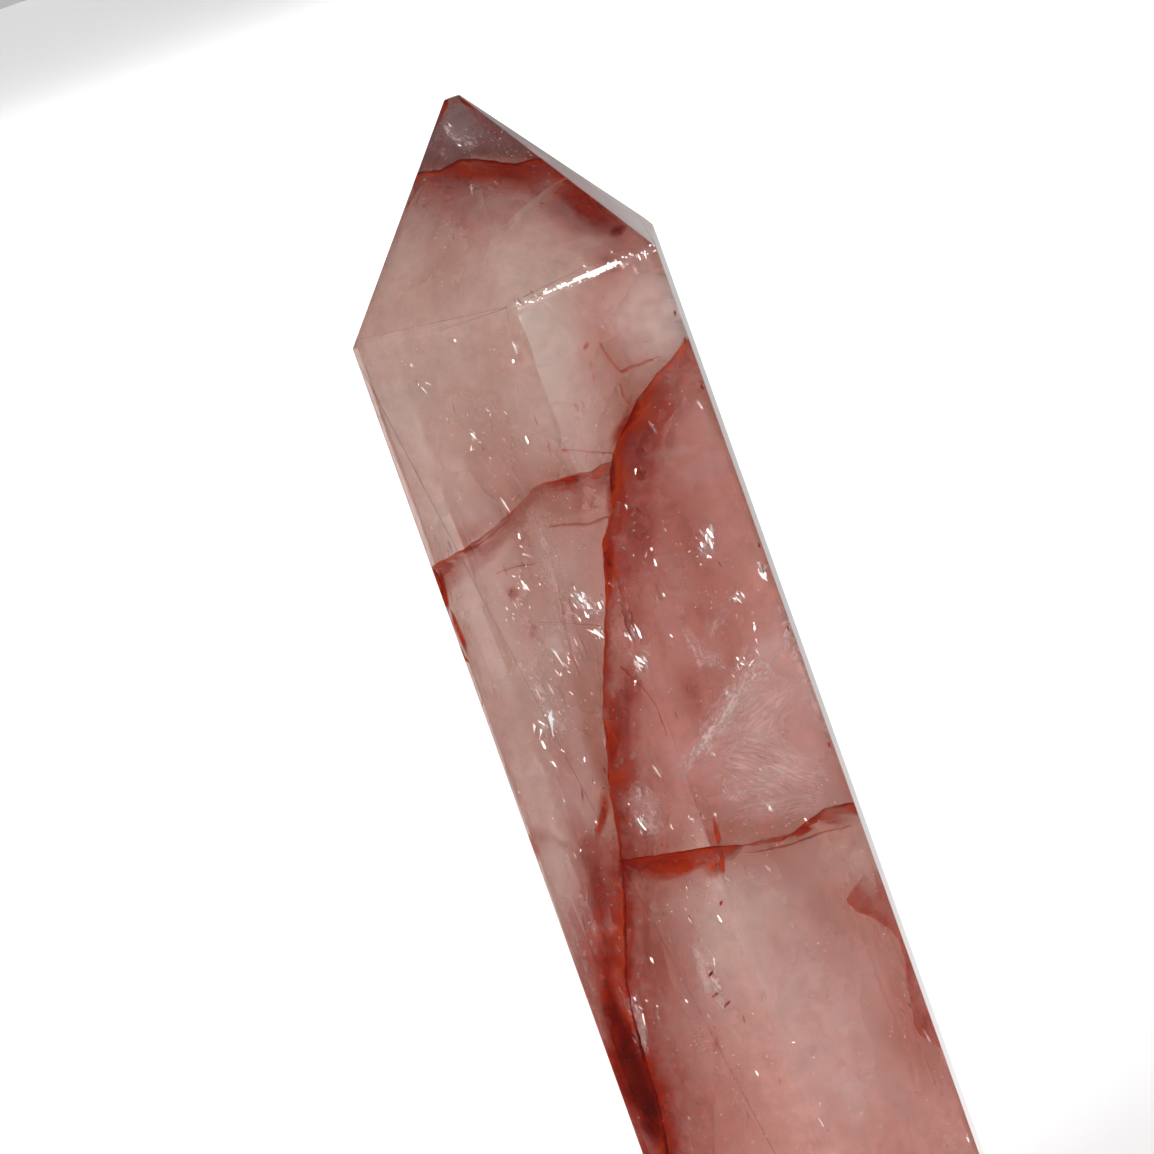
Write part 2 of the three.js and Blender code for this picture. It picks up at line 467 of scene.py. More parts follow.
def add_piece(name, mesh, materials):
    """Puts a mesh in the scene as a piece of the stone."""
    for material in materials:
        mesh.materials.append(material)
    piece = bpy.data.objects.new(name, mesh)
    bpy.context.collection.objects.link(piece)
    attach(piece, "root")
    return piece


CLIP_SNAP = 1e-9  # points this near a clipping plane are on it, in metres


def clip_to_stone(body):
    """Cuts away all of a bmesh that is outside the stone or within SKIN of its faces."""
    for normal, reach in FACES:
        bmesh.ops.bisect_plane(
            body, geom=body.verts[:] + body.edges[:] + body.faces[:], dist=CLIP_SNAP,
            plane_co=normal * (reach - SKIN), plane_no=normal, clear_outer=True,
        )


def add_inclusion(name, body, material):
    """Makes a piece of a bmesh, with all that would stick out of the stone cut away."""
    clip_to_stone(body)
    mesh = bpy.data.meshes.new(name)
    body.to_mesh(mesh)
    body.free()
    add_piece(name, mesh, [material])


def add_faces(body, spots, loops):
    """Adds faces to a bmesh. A spot is (place, (along, across), strength). A loop lists spots by number."""
    uv = body.loops.layers.uv.verify()
    weight = body.verts.layers.float.get("strength") or body.verts.layers.float.new("strength")
    verts = []
    for at, _, strength in spots:
        vert = body.verts.new(at)
        vert[weight] = strength
        verts.append(vert)
    for numbers in loops:
        face = body.faces.new([verts[number] for number in numbers])
        face.smooth = True
        for loop, number in zip(face.loops, numbers):
            loop[uv].uv = spots[number][1]


def add_sheet(body, rows):
    """Adds a sheet of quads through equal rows of spots."""
    wide = len(rows[0])
    loops = [
        (i * wide + k, (i + 1) * wide + k, (i + 1) * wide + k + 1, i * wide + k + 1)
        for i in range(len(rows) - 1)
        for k in range(wide - 1)
    ]
    add_faces(body, [spot for row in rows for spot in row], loops)


DISC_PATTERN = 2  # how far a disc's pattern goes from its middle to its rim


def add_disc(body, place_of, strength, rings=7, spokes=24, tone=0.0, fade=1.5):
    """Adds a round sheet. place_of turns a point (x, y) of the unit disc into a place. With a tone, the
    whole sheet has that depth in its pattern."""
    spots = [(place_of(0, 0), (0, tone), strength)]
    for ring in range(1, rings + 1):
        share = ring / rings
        for spoke in range(spokes):
            turn = math.tau * spoke / spokes
            x, y = share * math.cos(turn), share * math.sin(turn)
            spot = (x * DISC_PATTERN, tone or y * DISC_PATTERN)
            spots.append((place_of(x, y), spot, strength * (1 - share * share) ** fade))
    loops = [(0, 1 + k, 1 + (k + 1) % spokes) for k in range(spokes)]
    for ring in range(rings - 1):
        start = 1 + ring * spokes
        for k in range(spokes):
            after = (k + 1) % spokes
            loops.append((start + k, start + spokes + k, start + spokes + after, start + after))
    add_faces(body, spots, loops)


# Lines, waves and chance

def piecewise(table, at):
    """The value at a place of a line through (place, value) pairs. A value is a number or a vector."""
    for (a, low), (b, high) in zip(table, table[1:]):
        if at <= b:
            return low + (high - low) * (max(0.0, at - a) / (b - a))
    return table[-1][1]


def all_along(value):
    """A table that piecewise reads, from one value or from (place, value) pairs."""
    if isinstance(value, list):
        return [(at, Vector(item) if isinstance(item, tuple) else item) for at, item in value]
    return all_along([(0, value), (1, value)])


def even_steps(line, step, squash=1.0):
    """Points along a line of (x, y) points, at even steps. A way in x counts as squash times its length."""
    points = []
    for (ax, ay), (bx, by) in zip(line, line[1:]):
        count = max(1, round(math.hypot((bx - ax) * squash, by - ay) / step))
        points += [(ax + (bx - ax) * k / count, ay + (by - ay) * k / count) for k in range(count)]
    return points + [line[-1]]


def uneven(point, waves, shift=(0, 0, 0)):
    """Noise at a place: the sum of waves, each given as how many go to a millimetre and how high it is."""
    return sum(high * noise.noise(point * (many / MM) + Vector(shift)) for many, high in waves)


def random_vector(rng):
    return Vector((rng.gauss(0, 1), rng.gauss(0, 1), rng.gauss(0, 1)))


# Materials

NOISE_SPAN = (0.3, 0.7)  # what nearly all noise lies between


def add_node(material, kind, inputs=None, **settings):
    """Adds a shader node. An input is a value, or a socket to link from."""
    tree = material.node_tree
    node = tree.nodes.new("ShaderNode" + kind)
    for key, value in settings.items():
        setattr(node, key, value)
    for key, value in (inputs or {}).items():
        if isinstance(value, bpy.types.NodeSocket):
            tree.links.new(value, node.inputs[key])
        else:
            node.inputs[key].default_value = value
    return node


def new_material(name):
    material = bpy.data.materials.new(name)
    material.use_nodes = True
    material.node_tree.nodes.clear()
    return material


def maths(material, operation, a, b=0.0, clamp=False):
    return add_node(material, "Math", {0: a, 1: b}, operation=operation, use_clamp=clamp).outputs[0]


def product(material, *factors):
    """Factors multiplied together and held between 0 and 1."""
    result = factors[0]
    for factor in factors[1:]:
        result = maths(material, "MULTIPLY", result, factor)
    return maths(material, "MINIMUM", result, 1.0, clamp=True)


def remap(material, value, low, high, to_low=0.0, to_high=1.0, smooth=False):
    """A value's place between low and high, turned into one between to_low and to_high."""
    inputs = {"Value": value, "From Min": low, "From Max": high, "To Min": to_low, "To Max": to_high}
    kind = "SMOOTHSTEP" if smooth else "LINEAR"
    return add_node(material, "MapRange", inputs, clamp=True, interpolation_type=kind).outputs["Result"]


def ramp(material, value, stops):
    """A colour that follows a value through (value, colour) stops."""
    node = add_node(material, "ValToRGB", {"Fac": value})
    elements = node.color_ramp.elements
    for _ in range(len(stops) - 2):
        elements.new(0.5)
    for element, (position, colour) in zip(elements, stops):
        element.position = position
        element.color = (*colour, 1)
    return node.outputs["Color"]


def place(material):
    return add_node(material, "TexCoord").outputs["Object"]


def pattern(material):
    """The place in a sheet's own pattern, as its spots give it."""
    return add_node(material, "TexCoord").outputs["UV"]


def axis(material, vector, name):
    return add_node(material, "SeparateXYZ", {0: vector}).outputs[name]


def dot(material, a, b):
    return add_node(material, "VectorMath", {0: a, 1: b}, operation="DOT_PRODUCT").outputs["Value"]


def strength_of(material):
    return add_node(material, "Attribute", attribute_name="strength").outputs["Fac"]


def clouds(material, size, vector=None, detail=2.0, roughness=0.6, distortion=0.0):
    """Noise with features of a size, in millimetres or in what the vector counts in."""
    inputs = {
        "Vector": vector or place(material),
        "Scale": 1 / (size * MM) if vector is None else 1 / size,
        "Detail": detail,
        "Roughness": roughness,
        "Distortion": distortion,
    }
    return add_node(material, "TexNoise", inputs).outputs["Fac"]


def stretched(material, vector, factors):
    return add_node(material, "VectorMath", {0: vector, 1: factors}, operation="MULTIPLY").outputs[0]


def mixed(material, share, low, high):
    inputs = {0: share}
    for socket, colour in ((6, low), (7, high)):
        inputs[socket] = (*colour, 1) if isinstance(colour, tuple) else colour
    return add_node(material, "Mix", inputs, data_type="RGBA").outputs[2]


def finish_surface(material, shader, volume=None):
    output = add_node(material, "OutputMaterial", {"Surface": shader})
    if volume:
        material.node_tree.links.new(volume, output.inputs["Volume"])
    return material


def finish_layer(material, colour, alpha, stain=None, staining=0.0):
    """Finishes a material as a thin layer that scatters light back and through, over what lies behind.
    A share of it, staining, only dyes the light that passes."""
    back = add_node(material, "BsdfDiffuse", {"Color": colour}).outputs[0]
    through = add_node(material, "BsdfTranslucent", {"Color": colour}).outputs[0]
    layer = add_node(material, "MixShader", {0: 0.5, 1: back, 2: through}).outputs[0]
    if stain:
        dyed = add_node(material, "BsdfTransparent", {"Color": stain}).outputs[0]
        layer = add_node(material, "MixShader", {0: staining, 1: layer, 2: dyed}).outputs[0]
    clear = add_node(material, "BsdfTransparent").outputs[0]
    layer = add_node(material, "MixShader", {0: alpha, 1: clear, 2: layer}).outputs[0]
    return finish_surface(material, layer)


def principled(material, inputs, volume=None):
    """Finishes a material as one surface with these inputs."""
    surface = add_node(material, "BsdfPrincipled", inputs)
    return finish_surface(material, surface.outputs[0], volume)


def quartz_material():
    material = new_material("polished_quartz")
    polish = remap(material, clouds(material, 6), 0.35, 0.75, *POLISH)
    tint = add_node(material, "VolumeAbsorption", {"Color": (*QUARTZ_TINT, 1), "Density": QUARTZ_DENSITY})
    inputs = {"Base Color": (1, 1, 1, 1), "Roughness": polish, "IOR": QUARTZ_IOR, "Transmission Weight": 1.0}
    return principled(material, inputs, tint.outputs[0])


FILM_COLOURS = [
    (0.0, (0.28, 0.010, 0.003)),
    (0.022, (0.42, 0.018, 0.005)),
    (0.05, (0.82, 0.12, 0.025)),
    (0.12, (0.68, 0.095, 0.035)),
    (0.25, (0.60, 0.11, 0.075)),
    (0.45, (0.66, 0.21, 0.165)),
    (1.0, (0.80, 0.44, 0.38)),
]
FILM_SPAN = 10.0  # the depth, in millimetres, at which the last of those colours is reached

# The milky veils' colours: two that take turns in the clear parts, then those low in the stone, beside
# the films and at the tip
PALE_MILK = (0.98, 0.80, 0.72)
GREY_MILK = (0.92, 0.81, 0.74)
# Painted shade: the milk low in the stone is darker and pinker
LOW_SHADE_MILK = (1.0, 0.73, 0.67)
RED_MILK = (0.93, 0.57, 0.51)
CAP_MILK = (0.46, 0.34, 0.34)
LOW_SHADE_MILK_ENDS = (25 * MM, 45 * MM)  # the heights between which the low colour gives way


def film_material(name, slowest, fastest, softness, staining):
    """Hematite film: strong where it nears the surface, thinning and breaking up inwards. Its colours
    pass slowest in one place and fastest in another. A share of it, staining, only dyes light."""
    material = new_material(name)
    spot = pattern(material)
    depth = axis(material, spot, "Y")
    drips = clouds(material, 1.0, stretched(material, spot, (1.3, 0.3, 1)), detail=3)
    banks = clouds(material, 4.0)
    patches = clouds(material, 1.6, detail=3, roughness=0.7)
    haste = maths(
        material, "MULTIPLY",
        remap(material, drips, *NOISE_SPAN, 0.6, 1.5),
        remap(material, banks, 0.38, 0.62, slowest, fastest),
    )
    shown = maths(material, "DIVIDE", maths(material, "MULTIPLY", depth, haste), FILM_SPAN)
    colour = ramp(material, shown, FILM_COLOURS)
    strength = strength_of(material)
    fringe = maths(material, "SUBTRACT", maths(material, "MULTIPLY", strength, 2.2), drips)
    fringe = remap(material, fringe, 0, softness, smooth=True)
    uneven_cover = remap(material, patches, 0.30, 0.62, 0.6, 1.2)
    rim = remap(material, depth, 0.3, 4.0, 1.2, 1.0)
    alpha = product(material, strength, uneven_cover, rim, fringe)
    return finish_layer(material, colour, alpha, colour, staining)


def side_of(material, plane, blur):
    """1 beyond a plane, 0 before it, with a blurred change between, in millimetres."""
    point, normal = plane
    border = point.dot(normal)
    return remap(material, dot(material, place(material), normal), border, border + blur * MM, smooth=True)


def veil_material():
    """Milky veil: thin cloud with a ragged border, stained where it lies beside the films."""
    material = new_material("milky_veil")
    wisps = clouds(material, 1.7, detail=3, roughness=0.75)
    banks = clouds(material, 6.0)
    ragged = remap(material, wisps, *NOISE_SPAN, -0.10, 0.15)
    cover = maths(material, "ADD", ragged, remap(material, banks, *NOISE_SPAN, 0.5, 0.9))
    alpha = product(material, cover, strength_of(material))
    milk = mixed(material, remap(material, banks, 0.35, 0.65), PALE_MILK, GREY_MILK)
    # Painted shade low in the stone, fading out between the two heights
    low = remap(material, axis(material, place(material), "Z"), *LOW_SHADE_MILK_ENDS, 1, 0, smooth=True)
    beside = product(material, side_of(material, MAIN_PLANE, 1.5), side_of(material, CROSS_PLANE, 1.5))
    tip = side_of(material, TIP_PLANE, 0.8)
    for share, colour in ((low, LOW_SHADE_MILK), (beside, RED_MILK), (tip, CAP_MILK)):
        milk = mixed(material, share, milk, colour)
    return finish_layer(material, milk, alpha)


# The stone

SAME_PLACE = 0.001 * MM  # points nearer than this are one
TOUCHING = 0.0001 * MM  # points this near an edge or a cut are on it
FLAT_ANGLE = math.radians(0.5)  # faces that meet at less than this are one
SHARP_ANGLE = math.radians(1)  # edges sharper than this are rounded
SMALL_FACE = 0.5 * MM * MM  # faces smaller than this belong to a rounded edge

EDGE_ROUND = 0.04 * MM
EDGE_STEP = 0.7 * MM  # how often the roundness of an edge changes
EDGE_REACH = 3 * EDGE_ROUND  # how far from a sharp edge its rounding is looked for
CORNER = 2 * EDGE_ROUND  # how far from an edge's end the roundness starts to change
CORNER_EASE = 4 * EDGE_ROUND  # the way that it takes to change in full
WEAR_WAVES = [(0.6, 0.8), (2.1, 0.5)]  # how the roundness varies, to its usual size
LEAST_WEAR = 0.4

WORN_WAY = Vector((0.471, -0.816, 0.334)).normalized()  # the way the worn shoulder edge's narrow facet looks
WORN_RUN = Vector((0.866, 0.5, 0)).normalized()  # the way it runs
WORN_ACROSS = WORN_WAY.cross(WORN_RUN).normalized()
CRUMB = 0.12 * MM  # the size of the crumbs that it is cut into
CRUMB_WAVES = [(6, 0.03 * MM)]  # how the crumbs rise and sink
# Half the width of its white streak, crushed quartz that is partly a painted highlight, in millimetres, at a
# place in x
HIGHLIGHT_STREAK_SPAN = [(2.3, -0.12), (2.9, 0.02), (5.0, 0.12), (7.0, 0.16), (8.0, 0.08), (8.5, -0.06), (11, -0.08)]
HIGHLIGHT_STREAK_WAVES = [(1.3, 0.12), (5, 0.10)]
STRAY_WAVES = [(7, 1.0)]  # beyond the streak, crumbs are white where these are higher than the limit
STRAY_LIMIT = 0.42


def crushed_and_highlit_quartz_material():
    """Crushed white quartz along the worn edge; its white is partly a painted highlight."""
    material = new_material("crushed_and_highlit_quartz")
    grain = clouds(material, 0.5, detail=3)
    # Painted highlight in part: a near-white base colour that keeps the edge bright
    colour = ramp(material, grain, [(0.30, (0.90, 0.80, 0.78)), (0.38, (1, 1, 1)), (0.7, (1, 1, 1))])
    gloss = remap(material, grain, *NOISE_SPAN, 0.5, 0.25)
    inputs = {"Base Color": colour, "Roughness": gloss, "IOR": QUARTZ_IOR, "Specular IOR Level": 1.0}
    return principled(material, inputs)


def worn_faces(body):
    return [face for face in body.faces if face.normal.dot(WORN_WAY) > SAME_WAY]


def each_once(items):
    """Items without repeats, in an order that is the same each run."""
    return list(dict.fromkeys(items))


def cut_to_crumbs(body):
    """Cuts the narrow facet of the worn shoulder edge into crumbs, and moves them up and down."""
    for way in (WORN_RUN, WORN_ACROSS):
        places = [vert.co.dot(way) for face in worn_faces(body) for vert in face.verts]
        for k in range(1, round((max(places) - min(places)) / CRUMB)):
            faces = worn_faces(body)
            edges = each_once(edge for face in faces for edge in face.edges)
            verts = each_once(vert for face in faces for vert in face.verts)
            at = way * (min(places) + k * CRUMB)
            geometry = verts + edges + faces
            bmesh.ops.bisect_plane(body, geom=geometry, dist=TOUCHING, plane_co=at, plane_no=way)
    crumbs = set(worn_faces(body))
    for vert in {vert for face in crumbs for vert in face.verts}:
        if all(face in crumbs for face in vert.link_faces):
            vert.co += WORN_WAY * uneven(vert.co, CRUMB_WAVES)
    return crumbs


def in_highlight_streak(crumb, middle):
    """Whether a crumb is in the ragged white streak, which is partly a painted highlight, or one of the few
    beyond it.
    """
    at = crumb.calc_center_median()
    half = piecewise(HIGHLIGHT_STREAK_SPAN, at.x / MM) + uneven(at, HIGHLIGHT_STREAK_WAVES)
    off = abs((at - middle).dot(WORN_ACROSS)) / MM
    return off < half or uneven(at, STRAY_WAVES) > STRAY_LIMIT


def split_edges(body):
    """Splits a bmesh's edges into short ones."""
    for edge in body.edges[:]:
        a = edge.verts[0]
        for left in range(round(edge.calc_length() / EDGE_STEP), 1, -1):
            edge, a = bmesh.utils.edge_split(edge, a, 1 / left)


def nearest_edge(point, edges):
    """The gap to the nearest of some edges, the place on it there, and how far that is from its end."""
    found = []
    for a, b in edges:
        span = b - a
        share = min(1.0, max(0.0, (point - a).dot(span) / span.length_squared))
        foot = a + span * share
        found.append(((point - foot).length, foot, min(share, 1 - share) * span.length))
    return min(found, key=lambda item: item[0])


def wear_edges(body, edges):
    """Moves the rounded edges' points in or out, so that the roundness varies along each edge."""
    for vert in body.verts:
        gap, foot, to_end = nearest_edge(vert.co, edges)
        if TOUCHING < gap < EDGE_REACH:
            wear = max(LEAST_WEAR, 1 + uneven(foot, WEAR_WAVES))
            ease = min(1.0, max(0.0, (to_end - CORNER) / CORNER_EASE))
            vert.co = foot + (vert.co - foot) * (1 + (wear - 1) * ease)


def sort_faces(body):
    """Puts a bmesh's faces in the order of their places, which is the same each run, as cuts' isn't."""
    faces = sorted(body.faces, key=lambda face: face.calc_center_median().to_tuple())
    for number, face in enumerate(faces):
        face.index = number
    body.faces.sort()


def polished_body():
    """The CAD crystal's faces with rounded and worn edges. It stands for the CAD node."""
    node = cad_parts["crystal"]
    body = bmesh.new()
    body.from_mesh(node.data)
    bmesh.ops.remove_doubles(body, verts=body.verts[:], dist=SAME_PLACE)
    bmesh.ops.dissolve_limit(body, angle_limit=FLAT_ANGLE, verts=body.verts[:], edges=body.edges[:])
    whole = [tuple(vert.co.copy() for vert in edge.verts) for edge in body.edges]
    middle = worn_faces(body)[0].calc_center_median()
    split_edges(body)
    sharp = [edge for edge in body.edges if edge.calc_face_angle() > SHARP_ANGLE]
    bmesh.ops.bevel(
        body, geom=sharp, offset=EDGE_ROUND, offset_type="OFFSET", segments=3, profile=0.5,
        affect="EDGES", clamp_overlap=False,
    )
    wear_edges(body, whole)
    body.normal_update()
    crumbs = cut_to_crumbs(body)
    for face in body.faces:
        face.smooth = face.calc_area() < SMALL_FACE and face not in crumbs
        # The white crumbs are crushed quartz and partly a painted highlight
        face.material_index = 1 if face in crumbs and in_highlight_streak(face, middle) else 0
    sort_faces(body)
    mesh = bpy.data.meshes.new("polished_quartz")
    body.to_mesh(mesh)
    body.free()
    piece = add_piece("polished_quartz", mesh, [quartz_material(), crushed_and_highlit_quartz_material()])
    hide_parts("crystal")


# Films. Lengths are in millimetres

SEEN_STEP = 3.0  # between points of a line in the photograph, in pixels
SEEN_WANDER = 1.3  # how far such a line wanders, in pixels
SEEN_RATE = 0.12  # and how many times in a pixel
ROUND_STEP = 0.3  # between points of a line round the stone
ROUND_DEGREE = 0.2  # the length of a degree there
ROUND_WANDER = 1.5

FILM_LEAD = 0.6  # how far a film starts outside the stone before it is clipped
FILM_TREND = 4  # how many points before and after one tell which way the line runs there
FILM_WAVES = [(0.12, 1.0), (0.45, 0.35)]
FILM_EASE = 3.0  # the depth at which those waves are at their full height
FILM_FADE = 0.5  # the share of its reach at which a film starts to thin out

MAIN_INWARD = (0.564, 0.785, -0.253)
MAIN_KEEPS = [
    (0, 0.9), (0.085, 0.65), (0.17, 0.65), (0.2, 1.0), (0.28, 1.0), (0.305, 2.2), (0.37, 2.2), (0.4, 0.8),
    (0.455, 0.8), (0.48, 1.8), (0.56, 1.8), (0.59, 0.9), (1, 0.9),
]
TIP_INWARD = (0.1, 1, -0.75)
CROSS_INWARDS = [
    (0, (0, 1, -0.55)), (0.38, (0, 1, -0.6)), (0.45, (0, 1, -0.25)), (0.65, (0, 1, -0.15)),
    (1, (0, 1, -0.6)),
]
THIN_INWARD = (0, 1, -0.3)
MAIN_STRAIGHT = 24  # the main film's plane is that of this many points of its line
BRANCH_START = 20  # the point of the main film's line at which the low left film leaves it
BRANCH_GAP = 4  # how far beside that line it runs, in pixels


def seen_line(line):
    """Points on the stone's surface along a line of pixels, which wanders a little."""
    points = []
    for x, y in even_steps(line, SEEN_STEP):
        across, down = (noise.noise(Vector((x, y, layer)) * SEEN_RATE) for layer in (0, 9))
        pixel = (x + SEEN_WANDER * across, y + SEEN_WANDER * down)
        points.append(meet_stone(EYE, sight_line(pixel))[0])
    return points


def round_line(line):
    """Points on the stone's surface along (turn in degrees, height) pairs, with a wandering height."""
    points = []
    for turn, height in even_steps(line, ROUND_STEP, ROUND_DEGREE)[:-1]:
        angle = math.radians(turn)
        level = Vector((0, 0, height * MM))
        wander = noise.noise(Vector((angle * 3, level.z * 90, 4.0))) + 0.5 * noise.noise(level * 400)
        level.z += wander * ROUND_WANDER * MM
        points.append(meet_from_side(angle, level.z)[0])
    return points


def film(name, trace, inwards, reach, material, strengths=1.0, waves=0.5, step=0.4, keeps=1.0):
    """A film that meets the surface along a trace and runs inwards from it, as deep as its reach. The
    smaller a value of keeps is, the deeper the film keeps the strong colour of its rim there."""
    inwards, strengths, keeps = all_along(inwards), all_along(strengths), all_along(keeps)
    columns = round((reach + FILM_LEAD) / step)
    last = len(trace) - 1
    rows = []
    along = 0.0
    for i, point in enumerate(trace):
        along += (point - trace[max(i - 1, 0)]).length / MM
        inward = piecewise(inwards, i / last).normalized()
        ahead = trace[min(i + FILM_TREND, last)] - trace[max(i - FILM_TREND, 0)]
        side = ahead.cross(inward).normalized()
        strength = piecewise(strengths, i / last)
        keep = piecewise(keeps, i / last)
        row = []
        for k in range(columns + 1):
            depth = (reach + FILM_LEAD) * k / columns - FILM_LEAD
            at = point + inward * (depth * MM)
            ease = min(1.0, max(0.0, depth / FILM_EASE))
            swell = side * (uneven(at, FILM_WAVES) * waves * MM * ease)
            thinning = 1 - max(0.0, depth / reach - FILM_FADE) / (1 - FILM_FADE)
            row.append((at + swell, (along, depth * keep), strength * thinning))
        rows.append(row)
    body = bmesh.new()
    add_sheet(body, rows)
    add_inclusion(name, body, material)


def plane_of(line, inward, towards):
    """The plane of a film through the ends of its line, as a point and the normal towards a direction."""
    points = seen_line(line)
    normal = (points[-1] - points[0]).cross(Vector(inward)).normalized()
    return points[0], (normal if normal.dot(Vector(towards)) > 0 else -normal)


# Films that surface out of the photograph's sight, guessed: name, (turn, height) line, inward, reach
ROUND_FILMS = [
    ("back_film", [(72, 71), (84, 62), (92, 50), (88, 36), (97, 20), (106, 8)], (-0.5, -0.8, 0.1), 4),
    ("back_cross_film", [(88, 44), (110, 41), (135, 47), (152, 45)], (0.1, -1, -0.35), 4),
    ("back_low_film", [(128, 31), (140, 22), (150, 12), (163, 2)], (0.7, -0.6, 0.1), 4),
    ("back_tip_film", [(40, 91), (75, 89.5), (110, 90.5), (150, 89)], (0, -1, -0.5), 4),
]

MAIN_PLANE = plane_of(MAIN_LINE[:MAIN_STRAIGHT], MAIN_INWARD, (1, -1, 0))
CROSS_PLANE = plane_of(CROSS_LINE, (0, 1, -0.3), (0, 0, 1))
TIP_PLANE = plane_of(TIP_LINE, (0, 1, -0.4), (0, 0, 1))


def rust_streaks():
    """Small streaks of rust along the stone, written as the stains are."""
    rng = random.Random(3)
    streaks = []
    for _ in range(RUST_STREAKS):
        down = rng.uniform(0, 1)
        across = rng.uniform(*RUST_ASIDE) + RUST_WIDENING * down
        x, y = RUST_TOP[0] + RUST_RUN[0] * down + across, RUST_TOP[1] + RUST_RUN[1] * down
        wide, high, degrees = rng.uniform(1.0, 2.2), rng.uniform(4, 13), rng.gauss(-18, 9)
        depth, tone, strength = rng.choice([0.3, 1.1]), rng.uniform(1.5, 5), rng.uniform(0.4, 0.8)
        streaks.append((x, y, wide, high, degrees, depth, tone, strength))
    return streaks


def make_patches(name, patches, material):
    """Soft ragged patches. A shallow one is flat behind one face, and a deep one bends round edges."""
    body = bmesh.new()
    for number, (x, y, wide, high, degrees, depth, tone, strength) in enumerate(patches):
        turn = math.radians(degrees)
        middle, face = meet_stone(EYE, sight_line((x, y)))
        reach = face.dot(middle)
        bent = depth > SHALLOW
        depth += PATCH_GAP * number

        def place_of(across, down):
            lobe = noise.noise(Vector((across * PATCH_LOBES, down * PATCH_LOBES, x)))
            ragged = 1 + PATCH_RAGGED * lobe
            across, down = across * wide * ragged, down * high * ragged
            column = x + across * math.cos(turn) - down * math.sin(turn)
            row = y + across * math.sin(turn) + down * math.cos(turn)
            if bent:
                return seen_at((column, row), depth * MM)
            return seen_through((column, row), face, reach, depth * MM)

        fade = PATCH_FADE if wide > SPECK else SPECK_FADE
        add_disc(body, place_of, strength, rings=6, spokes=20, tone=tone, fade=fade)
    add_inclusion(name, body, material)


def make_films():
    red = film_material("hematite_film", 0.7, 2.8, 0.6, 0.5)
    along = [(0, 0.6), (0.085, 0.9), (0.86, 0.9), (1, 0)]
    film("main_film", seen_line(MAIN_LINE), MAIN_INWARD, 17, red, along, waves=0.7, keeps=MAIN_KEEPS)
    film("tip_film", seen_line(TIP_LINE), TIP_INWARD, 8, red, keeps=0.3)
    film("second_film", seen_line(SECOND_LINE), (0.1, 1, -0.6), 7, red, [(0, 0.7), (0.5, 0.5), (1, 0.7)])
    film("cross_film", seen_line(CROSS_LINE), CROSS_INWARDS, 5, red, keeps=0.4)
    film("low_right_film", seen_line(LOW_RIGHT_LINE), (0.5, 0.8, 0.3), 6, red, 0.5)
    film("left_edge_film", seen_line(LEFT_EDGE_LINE), (0, 1, 0), 6, red, keeps=0.3)
    branch = seen_line([(x + BRANCH_GAP, y) for x, y in MAIN_LINE[BRANCH_START:]])
    along = [(0, 0), (0.2, 0.7), (0.7, 1), (1, 0)]
    film("low_left_film", branch, (-0.45, 0.9, -0.1), 12, red, along, keeps=0.4)
    along = [(0, 0.3), (0.1, 0.9), (0.9, 0.9), (1, 0.3)]
    for name, line, inward, reach in ROUND_FILMS:
        film(name, round_line(line), inward, reach, red, along, keeps=0.7)
    for number, (line, reach, keep) in enumerate(THIN_LINES, 1):
        name = f"thin_crack_{number}"
        film(name, seen_line(line), THIN_INWARD, reach, red, 0.6, waves=0.2, step=0.3, keeps=keep)
    stain = film_material("hematite_stain", 0.8, 1.3, 1.2, 0.6)
    make_patches("red_stains", STAINS + rust_streaks(), stain)


# Cloud and milky veils. Lengths are in millimetres

CLOUD = [(0.7, 0.25), (1.9, 0.42), (4.2, 0.62)]  # each layer's depth and strength
CLOUD_SPOKES = 90
CLOUD_STEP = 1.5
CLOUD_ENDS = 2.3  # a layer is this many times its depth shorter than the stone
CLOUD_WAVES = [(0.15, 0.12)]  # how high they are to the layer's depth
CLOUD_EASE = 4.0  # how far from the axis a layer has its full waves
EDGE_CLOUD = 5.0  # how near an edge of the stone the cloud grows denser
EDGE_DENSITY = 2.0  # how much it gains there
CLEARING = 4.0  # how far the rim of a film keeps the cloud in front of it clear
CLEARING_CURVE = 0.7

VEILS = 32
VEIL_START = 2.0  # the height from which they are spread, and how far
VEIL_RISE = 88.0
VEIL_OUT = (2.5, 8.0)  # how far from the axis their middles lie
VEIL_RADIUS = (6, 10)
VEIL_STRENGTH = (0.5, 0.9)
VEIL_TILT = 0.25
VEIL_LOBES = 2.0
VEIL_RAGGED = 0.35
VEIL_WAVES = [(0.09, 0.22)]  # how high they are to the veil's radius
BASE_VEILS = [3.0, 5.5]  # the heights of the level veils over the base
BASE_RADIUS = 18.0
BASE_STRENGTH = 0.8
GOLDEN_TURN = math.radians(137.508)


def reach_inside(at, direction, inset):
    """How far a point can go in a direction before it comes within the inset of a face."""
    reach = 1.0
    for normal, distance in FACES:
        closing = normal.dot(direction)
        if closing > GRAZING:
            reach = min(reach, (distance - inset - normal.dot(at)) / closing)
    return max(0.0, reach)


def rims_of_films():
    """A search tree of the points where the photograph's films meet the surface."""
    points = [point for line in FILM_LINES for point in seen_line(line)]
    tree = kdtree.KDTree(len(points))
    for number, point in enumerate(points):
        tree.insert(point, number)
    tree.balance()
    return tree


def nearness_to_edge(point):
    """1 on an edge of the stone, and 0 where the second nearest face is EDGE_CLOUD or farther."""
    second = sorted(distance - normal.dot(point) for normal, distance in FACES)[1]
    return max(0.0, 1 - second / (EDGE_CLOUD * MM))


